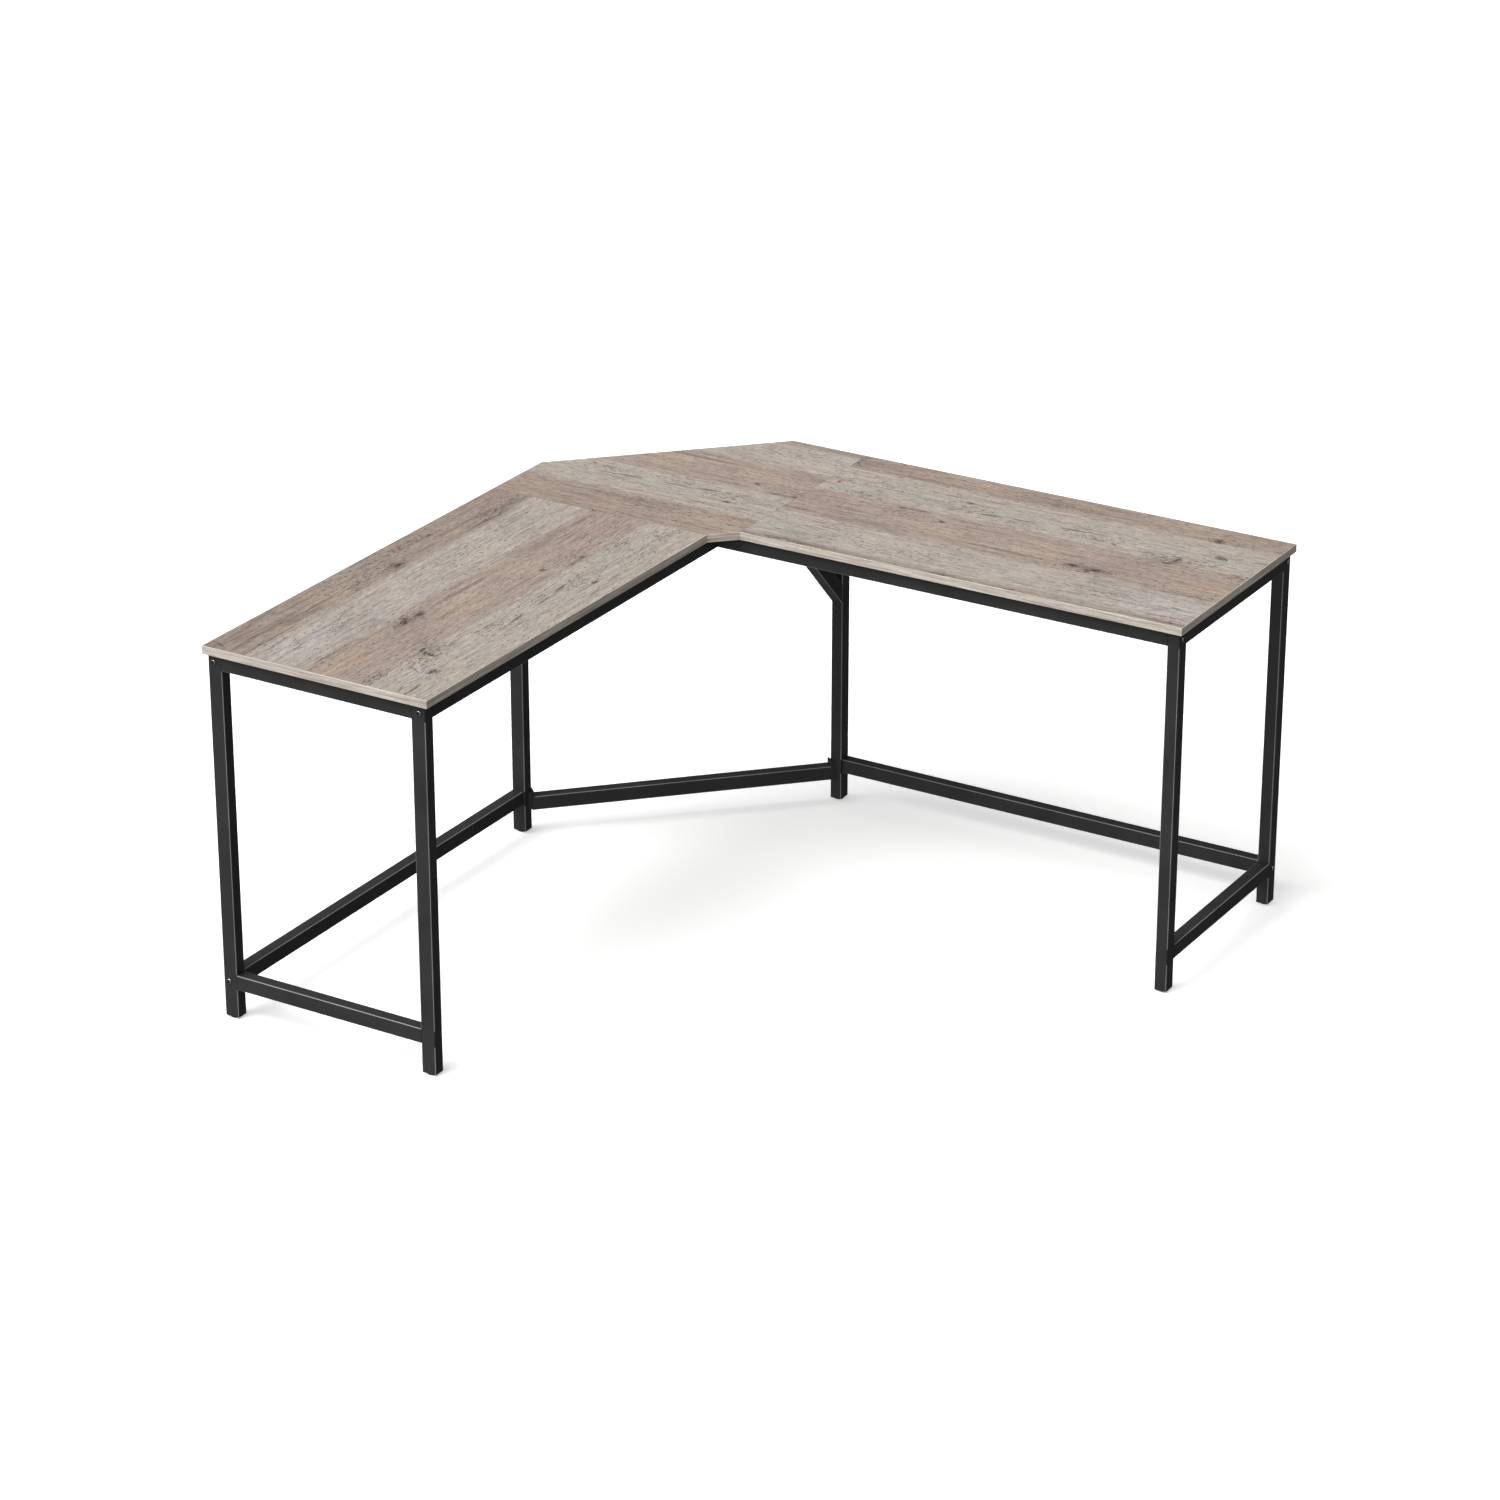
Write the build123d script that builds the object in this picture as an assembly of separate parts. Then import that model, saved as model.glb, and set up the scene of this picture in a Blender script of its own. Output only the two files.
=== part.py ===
from build123d import *
from math import atan2, cos, sin, sqrt
import os

# A corner desk: two wings at right angles, joined by a corner board with a clipped outer corner.
# It is drawn from the outer corner, where the lines of the two back edges cross. The right wing
# runs along +X and the left wing along -Y. The left wing mirrors the right one in the desk's
# diagonal plane. On export everything moves so that the origin is the middle of the footprint.

# Desktop
reach = 1480.0
depth = 493.0
height = 752.0
board = 16.0
clip = 367.0
seam = 538.5
seam_gap = 0.4
band = 1.0
band_round = 0.6

# Frame tube
tube_wide = 25.0
tube_tall = 30.0
tube_wall = 1.2
tube_round = 2.0

# Where the frame stands under the desktop
end_inset = 8.0
back_inset = 7.0
front_inset = 10.0
mid_face = 480.0
leg_bottom = 4.0
lower_rail_top = 92.0
corner_rail_top = 78.0
brace_drop = 267.0
brace_reach = 254.0
upper_corner_rail_setback = 27.0

# Corner rail seats
seat_plate = 3.0
seat_height = 40.0
seat_tongue = 30.0
seat_flanges_apart = 16.0
seat_bolt_share = 0.6
seat_play = 0.2

# Bolts, screws and the holes that they pass through
bolt_radius = 3.0
bolt_hole = 3.2
bolt_head_radius = 5.25
bolt_head_height = 3.3
bolt_head_dome = 2.4
hex_key = 4.0
hex_depth = 2.0
screw_radius = 2.0
screw_hole = 2.5
screw_head_radius = 4.0
screw_head_height = 2.6
screw_grip = 11.0
end_block = 15.0
bolt_grip = 12.0
short_bolt = 12.0
corner_bolt = 8.0

# Where the screws and seam plates lie along the wing, the arm and the corner rail
wing_screw_x = (640.0, 990.0, 1340.0)
arm_screw_y = (-130.0, -380.0)
corner_screw_side = 90.0
seam_plate_y = (-120.0, -370.0)

# Brackets and plates
bracket_leg = 30.0
bracket_tall = 24.0
bracket_thick = 3.0
corner_bracket_leg = 22.5
seam_plate_long = 56.0
seam_plate_wide = 30.0
seam_plate_thick = 2.5
seam_plate_round = 4.0
seam_screw_offsets = (-18.0, -9.0, 9.0, 18.0)

# Levelling feet
pad_radius = 10.0
pad_height = 3.7
pad_round = 0.8
stem_radius = 4.0
stem_socket = 2.2
stem_length = 32.0
thread_play = 0.05
plug_height = 20.0
nut_across = 13.0
nut_height = 6.5

# Places that follow from the sizes above
frame_top = height - board
rail_middle = frame_top - tube_tall / 2
lower_middle = lower_rail_top - tube_tall / 2
corner_middle = corner_rail_top - tube_tall / 2
end_face = reach - end_inset
end_inner = end_face - tube_wide
front_face = depth - front_inset
front_inner = front_face - tube_wide
back_face = back_inset
mid_outer = mid_face + tube_wide
leg_front = back_face + tube_tall
front_axis = -(front_face - tube_wide / 2)
back_axis = -(back_face + tube_wide / 2)

RIGHT = (1, 0, 0)
LEFT = (-1, 0, 0)
BACK = (0, 1, 0)
FRONT = (0, -1, 0)
UP = (0, 0, 1)
DOWN = (0, 0, -1)
diagonal = Plane(origin=(0, 0, 0), z_dir=(1, 1, 0))
to_footprint_middle = Pos(-reach / 2, reach / 2, 0)


def block(low, high):
    """A box between two opposite corners."""
    size = [b - a for a, b in zip(low, high)]
    return Pos(*low) * Box(*size, align=(Align.MIN, Align.MIN, Align.MIN))


def rod(start, way, radius, length):
    """A round bar from a point along a direction."""
    base = (Align.CENTER, Align.CENTER, Align.MIN)
    return Plane(origin=start, z_dir=way) * Cylinder(radius, length, align=base)


def tube_section(grow=0.0):
    """The tube's inside outline, grown by its wall for the outside."""
    wide = tube_wide - 2 * tube_wall + 2 * grow
    tall = tube_tall - 2 * tube_wall + 2 * grow
    return RectangleRounded(wide, tall, tube_round - tube_wall + grow)


def along(start, end, side):
    """The plane across a tube at its start, with x along the tube's narrow side."""
    return Plane(origin=start, x_dir=side, z_dir=Vector(*end) - Vector(*start))


def tube(start, end, side):
    """A rectangular steel tube between two points on its axis."""
    length = (Vector(*end) - Vector(*start)).length
    ring = tube_section(tube_wall) - tube_section()
    return extrude(along(start, end, side) * ring, amount=length)


def plug_in(start, end, side):
    """A solid block that fills a tube's inside between two points on its axis."""
    length = (Vector(*end) - Vector(*start)).length
    return extrude(along(start, end, side) * tube_section(), amount=length)


def bolt(seat, way, shank):
    """A button-head socket bolt whose head sits on a face and whose shank runs the given way."""
    head = Cylinder(bolt_head_radius, bolt_head_height, align=(Align.CENTER, Align.CENTER, Align.MAX))
    crown = head.edges().filter_by(GeomType.CIRCLE).sort_by(Axis.Z)[0]
    head = fillet(crown, bolt_head_dome)
    hexagon = RegularPolygon(hex_key / 2, 6, major_radius=False)
    head -= Pos(0, 0, -bolt_head_height) * extrude(hexagon, amount=hex_depth)
    shank = Cylinder(bolt_radius, shank, align=(Align.CENTER, Align.CENTER, Align.MIN))
    return Plane(origin=seat, z_dir=way) * (head + shank)


def screw(seat, length):
    """A pan-head wood screw driven upwards from a face."""
    head = rod(seat, DOWN, screw_head_radius, screw_head_height)
    rim = head.edges().filter_by(GeomType.CIRCLE).sort_by(Axis.Z)[0]
    return fillet(rim, screw_head_height / 2) + rod(seat, UP, screw_radius, length)


def drill(piece, holes):
    """Cut round holes, each given as start, way, radius and length."""
    for start, way, radius, length in holes:
        piece -= rod(start, way, radius, length)
    return piece


# ---- Desktop ----

def crossing(point_a, way_a, point_b, way_b):
    """Where two lines in the plane cross."""
    gap_x = point_b[0] - point_a[0]
    gap_y = point_b[1] - point_a[1]
    spread = way_a[0] * way_b[1] - way_a[1] * way_b[0]
    step = (gap_x * way_b[1] - gap_y * way_b[0]) / spread
    return (point_a[0] + way_a[0] * step, point_a[1] + way_a[1] * step)


def inset(outline, insets):
    """The outline, drawn clockwise, with each side moved inwards by its own distance."""
    lines = []
    for here, there, distance in zip(outline, outline[1:] + outline[:1], insets):
        way = (there[0] - here[0], there[1] - here[1])
        long = sqrt(way[0] ** 2 + way[1] ** 2)
        moved = (here[0] + way[1] / long * distance, here[1] - way[0] / long * distance)
        lines.append((moved, way))
    before = lines[-1:] + lines[:-1]
    return [crossing(*first, *second) for first, second in zip(before, lines)]


def slab(outline):
    """A board of the given outline."""
    face = make_face(Polyline(*outline, close=True))
    return Pos(0, 0, frame_top) * extrude(face, amount=board)


def edge_strip(outer, inner):
    """One edge band, rounded along its two long outer edges."""
    strip = slab([outer[0], outer[1], inner[1], inner[0]])
    middle = [(a + b) / 2 for a, b in zip(*outer)]
    rims = [e for e in strip.edges() for z in (frame_top, height)
            if (e.center() - Vector(*middle, z)).length < band / 4]
    return fillet(rims, band_round)


def banded_board(outline, banded):
    """A board's core and its edge bands; banded says which sides have a band."""
    core = inset(outline, [band if has_band else 0.0 for has_band in banded])
    sides = zip(outline, outline[1:] + outline[:1], core, core[1:] + core[:1], banded)
    strips = [edge_strip((a, b), (c, d)) for a, b, c, d, has_band in sides if has_band]
    return slab(core), strips


def wing_board():
    start = seam + seam_gap
    outline = [(start, 0), (reach, 0), (reach, -depth), (start, -depth)]
    return banded_board(outline, [True, True, True, False])


def corner_board():
    outline = [(0, -seam), (0, -clip), (clip, 0), (seam, 0), (seam, -depth), (depth, -seam)]
    return banded_board(outline, [True, True, True, False, True, False])


# ---- Screws that hold the boards ----

wing_screw_places = [(x, y) for x in wing_screw_x for y in (front_axis, back_axis)]
arm_screw_places = [(mid_face + tube_wide / 2, y) for y in arm_screw_y]
corner_middle_x = (mid_face + leg_front + upper_corner_rail_setback) / 2
corner_screw_places = [(corner_middle_x + side, side - corner_middle_x)
                       for side in (-corner_screw_side, corner_screw_side)]


def mirrored_place(place):
    """The same place on the other wing."""
    return (-place[1], -place[0])


def rail_screws(places):
    seat = frame_top - tube_tall
    return [screw((x, y, seat), tube_tall + screw_grip) for x, y in places]


def rail_screw_holes(places):
    """Clearance holes for screws that pass up through a top rail."""
    low = frame_top - tube_tall - 1
    return [((x, y, low), UP, screw_hole, tube_tall + 2) for x, y in places]


def board_screw_holes(places):
    return [((x, y, frame_top), UP, screw_radius, screw_grip) for x, y in places]


# ---- Plates across the seams ----

seam_plate_places = [(seam + seam_gap / 2, y) for y in seam_plate_y]


def seam_plate(place):
    outline = RectangleRounded(seam_plate_long, seam_plate_wide, seam_plate_round)
    plate = extrude(Pos(*place, frame_top) * outline, amount=-seam_plate_thick)
    return drill(plate, [((x, y, frame_top), DOWN, screw_radius, seam_plate_thick)
                         for x, y in seam_screw_places([place])])


def seam_screw_places(plates):
    """Two screws each side of the seam on every plate."""
    return [(x + offset, y) for x, y in plates for offset in seam_screw_offsets]


def seam_screws(plates):
    seat = frame_top - seam_plate_thick
    return [screw((x, y, seat), seam_plate_thick + screw_grip) for x, y in seam_screw_places(plates)]


# ---- Frame of the right wing ----

outer_bolt_places = [(front_axis, rail_middle), (back_axis, rail_middle), (back_axis, lower_middle)]
mid_bolt_places = [(back_axis, rail_middle), (back_axis, lower_middle)]


def leg(x, y_back, holes):
    """A leg whose left and back faces lie at x and y_back."""
    middle = (x + tube_wide / 2, y_back - tube_tall / 2)
    upright = tube((*middle, leg_bottom), (*middle, frame_top), RIGHT)
    bores = [((x - 1, y, z), RIGHT, bolt_hole, tube_wide + 2) for y, z in holes]
    return drill(upright, bores)


def end_rail(z):
    x = end_face - tube_wide / 2
    return tube((x, -leg_front, z), (x, -(front_face - tube_tall), z), RIGHT)


def long_rail(start, y, z):
    return tube((start, y, z), (end_inner, y, z), BACK)


def front_rail():
    """The front rail, mitred at the desk's inner corner."""
    rail = long_rail(front_inner, front_axis, rail_middle)
    rail = split(rail, bisect_by=Plane(origin=(0, 0, 0), z_dir=(1, 1, 0)), keep=Keep.TOP)
    places = [p for p in wing_screw_places if p[1] == front_axis]
    inner = -front_inner + 1
    taps = [((x, inner, rail_middle), FRONT, bolt_radius, tube_wall + 2)
            for x in (corner_bolt_x, bracket_bolt_x)]
    return drill(rail, rail_screw_holes(places) + taps)


def back_top_rail():
    places = [p for p in wing_screw_places if p[1] == back_axis]
    return drill(long_rail(mid_outer, back_axis, rail_middle), rail_screw_holes(places))


def arm():
    """The transverse arm from the mid leg to the front rail."""
    x = mid_face + tube_wide / 2
    bar = tube((x, -leg_front, rail_middle), (x, -front_inner, rail_middle), RIGHT)
    taps = [((mid_outer + 1, bracket_bolt_y, rail_middle), LEFT, bolt_radius, tube_wall + 2),
            ((mid_face - 1, upper_seat_y, rail_middle), RIGHT, bolt_radius, tube_wall + 2)]
    return drill(bar, rail_screw_holes(arm_screw_places) + taps)


def brace():
    """The brace from the mid leg's front face up to the arm, cut flush to both."""
    slope = atan2(brace_drop, brace_reach)
    x = mid_face + tube_wide / 2
    under_arm = frame_top - tube_tall
    rise = tube_tall / 2 / cos(slope)
    foot = Vector(x, -leg_front, under_arm - brace_drop + rise)
    way = Vector(0, -cos(slope), sin(slope))
    start = foot - way * tube_tall
    end = foot + way * (brace_drop / sin(slope) + tube_tall)
    bar = tube(tuple(start), tuple(end), RIGHT)
    space = block((mid_face, -front_inner, lower_rail_top), (mid_outer, -leg_front, under_arm))
    return bar & space


# ---- Threaded blocks and bolts ----

def rail_end_block(x, y, z, way):
    """A threaded block welded flush into a rail's end; way runs into the rail."""
    inner = x + way[0] * end_block
    body = plug_in((x, y, z), (inner, y, z), BACK)
    return drill(body, [((x, y, z), way, bolt_radius, end_block)])


def rail_end_blocks():
    outer = [rail_end_block(end_inner, y, z, LEFT) for y, z in outer_bolt_places]
    return outer + [rail_end_block(mid_outer, y, z, RIGHT) for y, z in mid_bolt_places]


def frame_bolts():
    shank = tube_wide + bolt_grip
    outer = [bolt((end_face, y, z), LEFT, shank) for y, z in outer_bolt_places]
    return outer + [bolt((mid_face, y, z), RIGHT, shank) for y, z in mid_bolt_places]


# ---- Brackets behind the front rail ----

corner_bolt_x = front_inner + corner_bracket_leg / 2 - bracket_thick / 2
bracket_bolt_x = mid_outer + bracket_thick + (bracket_leg - bracket_thick) / 2
bracket_bolt_y = -front_inner + bracket_thick + (bracket_leg - bracket_thick) / 2
bracket_low = rail_middle - bracket_tall / 2
bracket_high = rail_middle + bracket_tall / 2


def arm_bracket():
    """An angle bracket in the corner between the arm and the front rail."""
    x, y = mid_outer, -front_inner
    on_arm = block((x, y, bracket_low), (x + bracket_thick, y + bracket_leg, bracket_high))
    on_rail = block((x, y, bracket_low), (x + bracket_leg, y + bracket_thick, bracket_high))
    bores = [((x - 1, bracket_bolt_y, rail_middle), RIGHT, bolt_hole, bracket_thick + 2),
             ((bracket_bolt_x, y - 1, rail_middle), BACK, bolt_hole, bracket_thick + 2)]
    return drill(on_arm + on_rail, bores)


def arm_bracket_bolts():
    into_arm = bolt((mid_outer + bracket_thick, bracket_bolt_y, rail_middle), LEFT, short_bolt)
    into_rail = bolt((bracket_bolt_x, -front_inner + bracket_thick, rail_middle), FRONT, short_bolt)
    return [into_arm, into_rail]


def corner_bracket_half():
    """Half of the angle bracket that wraps the front rails' mitre."""
    y = -front_inner
    low_x = front_inner - bracket_thick
    half = block((low_x, y, bracket_low), (low_x + corner_bracket_leg, y + bracket_thick, bracket_high))
    return drill(half, [((corner_bolt_x, y - 1, rail_middle), BACK, bolt_hole, bracket_thick + 2)])


def corner_bracket_bolt():
    seat = (corner_bolt_x, -front_inner + bracket_thick, rail_middle)
    return bolt(seat, FRONT, corner_bolt)


# ---- Rails across the clipped corner ----

ALONG = (-1, -1, 0)
ACROSS = (1, -1, 0)
seat_bolt_depth = seat_plate + seat_tongue * seat_bolt_share
upper_seat_y = -(leg_front + upper_corner_rail_setback) - tube_wide


def lower_seat_plane(z):
    """At the right mid leg's inner corner: x across the rail, y up, z along the rail."""
    return Plane(origin=(mid_face, -leg_front, z), x_dir=ACROSS, z_dir=ALONG)


def upper_seat_plane(z):
    """On the right arm's left face, where the upper corner rail meets it."""
    y = -(leg_front + upper_corner_rail_setback)
    return Plane(origin=(mid_face, y, z), x_dir=ACROSS, z_dir=ALONG)


def tongue(start, length):
    """The part of a seat that fits into the rail, with the hole for its bolt."""
    bar = Pos(0, 0, start) * extrude(tube_section(-seat_play), amount=length)
    return bar - Pos(0, 0, seat_bolt_depth) * Rot(0, 90, 0) * Cylinder(bolt_radius, tube_wide)


def lower_seat():
    """A seat on the mid leg's corner: plate, two side flanges to the leg, and the tongue."""
    low = seat_height / 2 - tube_tall / 2
    plate = Pos(0, low, seat_plate / 2) * Box(tube_wide, seat_height, seat_plate)
    flange_reach = seat_flanges_apart / 2
    flanges = [Pos(side * (seat_flanges_apart - seat_plate) / 2, low, -flange_reach / 2)
               * Box(seat_plate, seat_height, flange_reach) for side in (-1, 1)]
    seat = lower_seat_plane(corner_middle) * (plate + flanges + tongue(seat_plate, seat_tongue))
    leg_envelope = block((mid_face, -leg_front, 0), (mid_outer, -back_face, height))
    return seat - leg_envelope


def upper_seat():
    """A seat flat on the arm's left face, with the tongue at 45 degrees."""
    shape = upper_seat_plane(rail_middle) * tongue(-tube_wide, tube_wide + seat_tongue + seat_plate)
    shape = shape & block((0, -depth, 0), (mid_face - seat_plate, 0, height))
    y = -(leg_front + upper_corner_rail_setback)
    half = tube_wide * sqrt(2) / 2
    plate = block((mid_face - seat_plate, y - half - bolt_head_radius * 2, frame_top - tube_tall),
                  (mid_face, y + half, frame_top))
    return shape + plate


def corner_rail(plane, near, far):
    """A rail along the plane's z between two distances, open at both ends."""
    ring = tube_section(tube_wall) - tube_section()
    return extrude(plane * Pos(0, 0, near) * ring, amount=far - near)


def back_wall_hole(plane, distance):
    """A clearance hole in the rail's outer wall, at a distance from the seat."""
    cut = Pos(-tube_wide / 2, 0, distance) * Rot(0, 90, 0) * Cylinder(bolt_hole, tube_wall * 4)
    return plane * cut


def seat_bolt(plane):
    """The bolt through the corner rail's outer wall into the seat's tongue."""
    start = plane * Pos(-tube_wide / 2, 0, seat_bolt_depth)
    return bolt(tuple(start.position), ACROSS, tube_wide - 2 * tube_wall)


def lower_corner_rail():
    plane = lower_seat_plane(corner_middle)
    span = (mid_face - leg_front) * sqrt(2)
    rail = corner_rail(plane, seat_plate, span - seat_plate)
    return rail - back_wall_hole(plane, seat_bolt_depth) - back_wall_hole(plane, span - seat_bolt_depth)


def upper_corner_rail():
    plane = upper_seat_plane(rail_middle)
    span = (mid_face - leg_front - upper_corner_rail_setback) * sqrt(2)
    rail = corner_rail(plane, -tube_wide, span + tube_wide)
    face = mid_face - seat_plate
    rail = rail & block((0, -face, 0), (face, 0, height))
    rail -= back_wall_hole(plane, seat_bolt_depth)
    rail -= back_wall_hole(plane, span - seat_bolt_depth)
    return drill(rail, rail_screw_holes(corner_screw_places))


# ---- Feet ----

leg_axes = {
    "front": (end_face - tube_wide / 2, -(front_face - tube_tall / 2)),
    "back": (end_face - tube_wide / 2, -(back_face + tube_tall / 2)),
    "mid": (mid_face + tube_wide / 2, -(back_face + tube_tall / 2)),
}


def nut_blank():
    return extrude(RegularPolygon(nut_across / 2, 6, major_radius=False), amount=nut_height)


def leg_plug(place):
    """The plastic plug in a leg's lower end, with a pocket for the captive nut."""
    low, high = (*place, leg_bottom), (*place, leg_bottom + plug_height)
    body = plug_in(low, high, RIGHT)
    pocket = Pos(*place, leg_bottom + plug_height - nut_height) * nut_blank()
    return drill(body - pocket, [(low, UP, stem_radius + thread_play, plug_height)])


def foot_nut(place):
    low = (*place, leg_bottom + plug_height - nut_height)
    return drill(Pos(*low) * nut_blank(), [(low, UP, stem_radius + thread_play, nut_height)])


def foot_pad(place):
    """A round pad with a blind socket for its stem."""
    pad = Pos(*place, 0) * Cylinder(pad_radius, pad_height, align=(Align.CENTER, Align.CENTER, Align.MIN))
    pad = fillet(pad.edges().filter_by(GeomType.CIRCLE), pad_round)
    return drill(pad, [((*place, pad_height - stem_socket), UP, stem_radius, stem_socket)])


def foot_stem(place):
    stem = rod((*place, pad_height - stem_socket), UP, stem_radius, stem_length)
    tip = stem.edges().filter_by(GeomType.CIRCLE).sort_by(Axis.Z)[-1]
    return chamfer(tip, stem_radius / 5)


# ---- Assembly ----

def right_wing_pieces():
    """Every piece that the right wing has and the left wing mirrors."""
    core, strips = wing_board()
    wing_plate_screws = [p for p in seam_screw_places(seam_plate_places) if p[0] > seam]
    core = drill(core, board_screw_holes(wing_screw_places + wing_plate_screws))
    pieces = {
        "panel": [core],
        "edge_band": strips,
        "end_front_leg": [leg(end_inner, -(front_face - tube_tall), [outer_bolt_places[0]])],
        "end_back_leg": [leg(end_inner, -back_face, outer_bolt_places[1:])],
        "mid_leg": [leg(mid_face, -back_face, mid_bolt_places)],
        "end_top_rail": [end_rail(rail_middle)],
        "end_lower_rail": [end_rail(lower_middle)],
        "front_rail": [front_rail()],
        "back_top_rail": [back_top_rail()],
        "back_lower_rail": [long_rail(mid_outer, back_axis, lower_middle)],
        "arm": [arm()],
        "brace": [brace()],
        "frame_bolts": frame_bolts(),
        "arm_bracket": [arm_bracket()],
        "lower_corner_seat": [lower_seat()],
        "upper_corner_seat": [upper_seat()],
        "top_screws": rail_screws(wing_screw_places),
    }
    for name, place in leg_axes.items():
        pieces["foot_pad_" + name] = [foot_pad(place)]
        pieces["foot_stem_" + name] = [foot_stem(place)]
    return pieces


def right_half_of_shared_pieces():
    """Pieces of nodes that span both wings, as they lie on the right one."""
    seats = [lower_seat_plane(corner_middle), upper_seat_plane(rail_middle)]
    return {
        "corner_top_screws": rail_screws(arm_screw_places + corner_screw_places[1:]),
        "seam_plates": [seam_plate(place) for place in seam_plate_places],
        "seam_screws": seam_screws(seam_plate_places),
        "rail_end_blocks": rail_end_blocks(),
        "bracket_bolts": arm_bracket_bolts() + [corner_bracket_bolt()],
        "corner_rail_bolts": [seat_bolt(seat) for seat in seats],
        "leg_plugs": [leg_plug(place) for place in leg_axes.values()],
        "foot_nuts": [foot_nut(place) for place in leg_axes.values()],
    }


def middle_pieces():
    """Pieces that lie across the desk's diagonal."""
    core, strips = corner_board()
    near = [p for p in seam_screw_places(seam_plate_places) if p[0] < seam]
    places = arm_screw_places + near
    places = places + [mirrored_place(p) for p in places] + corner_screw_places
    half = corner_bracket_half()
    return {
        "corner_panel": [drill(core, board_screw_holes(places))],
        "corner_edge_band": strips,
        "lower_corner_rail": [lower_corner_rail()],
        "upper_corner_rail": [upper_corner_rail()],
        "inner_corner_bracket": [half + mirror(half, about=diagonal)],
    }


def all_pieces():
    pieces = middle_pieces()
    for name, shapes in right_wing_pieces().items():
        pieces["right_" + name] = shapes
        pieces["left_" + name] = [mirror(shape, about=diagonal) for shape in shapes]
    for name, shapes in right_half_of_shared_pieces().items():
        pieces[name] = shapes + [mirror(shape, about=diagonal) for shape in shapes]
    return pieces


os.makedirs("parts", exist_ok=True)
for node, shapes in all_pieces().items():
    solids = [solid for shape in shapes for solid in shape.solids()]
    placed = [to_footprint_middle * solid for solid in solids]
    export_step(placed[0] if len(placed) == 1 else Compound(children=placed), f"parts/{node}.step")
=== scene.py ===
import math

import bpy
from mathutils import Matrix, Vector


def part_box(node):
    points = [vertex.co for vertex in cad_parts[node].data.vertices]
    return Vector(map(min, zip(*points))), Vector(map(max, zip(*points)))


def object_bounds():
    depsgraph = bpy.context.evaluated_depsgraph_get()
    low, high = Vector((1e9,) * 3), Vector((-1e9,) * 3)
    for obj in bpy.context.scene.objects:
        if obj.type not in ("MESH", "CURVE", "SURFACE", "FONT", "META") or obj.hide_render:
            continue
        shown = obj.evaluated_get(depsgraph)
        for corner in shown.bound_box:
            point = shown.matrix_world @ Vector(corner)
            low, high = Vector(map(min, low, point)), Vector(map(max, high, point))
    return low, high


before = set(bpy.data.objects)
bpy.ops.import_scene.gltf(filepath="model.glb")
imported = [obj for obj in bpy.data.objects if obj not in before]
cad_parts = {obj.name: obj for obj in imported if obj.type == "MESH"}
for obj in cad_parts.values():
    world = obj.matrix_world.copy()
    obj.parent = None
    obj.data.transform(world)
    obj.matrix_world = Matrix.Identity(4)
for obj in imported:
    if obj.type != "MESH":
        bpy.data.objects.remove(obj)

MM = 0.001
cad_low, cad_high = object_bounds()

# ---------------------------------------------------------------- colours (sRGB, 0 to 255)

MARK_SOFT = (98, 83, 75)
MARK_DARK = (46, 38, 35)
KNOT_DARK = (30, 24, 22)
GLINT = (206, 196, 186)
# painted highlight on the edge band's top arris
ARRIS_HIGHLIGHT = (232, 222, 210)
BOARD_CHIPS = [(0.35, (120, 92, 62)), (0.62, (190, 160, 118))]
BAND_TONES = [(0.34, (174, 162, 149)), (0.50, (199, 189, 178)), (0.64, (210, 202, 192))]
COAT_TONES = [(0.35, (44, 44, 45)), (0.65, (51, 51, 51))]
COAT_DUST = (70, 70, 70)
# painted highlight on the steel's rounded corners
CORNER_HIGHLIGHT = (158, 157, 156)
OXIDE_TONES = [(0.3, (50, 50, 51)), (0.7, (72, 71, 70))]
# painted glint on the bolt heads' crowns
CROWN_GLINT = (176, 176, 176)
ZINC_TONES = [(0.3, (176, 178, 180)), (0.7, (208, 209, 208))]
PLASTIC_TONES = [(0.3, (24, 24, 24)), (0.7, (33, 33, 33))]
PAINT_TONES = [(0.3, (248, 248, 247)), (0.7, (250, 250, 249))]


def linear(colour):
    """A shader colour from an sRGB one."""
    parts = [c / 255 for c in colour]
    parts = [p / 12.92 if p <= 0.04045 else ((p + 0.055) / 1.055) ** 2.4 for p in parts]
    return (*parts, 1.0)


# ---------------------------------------------------------------- short ways to add shader nodes

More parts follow.
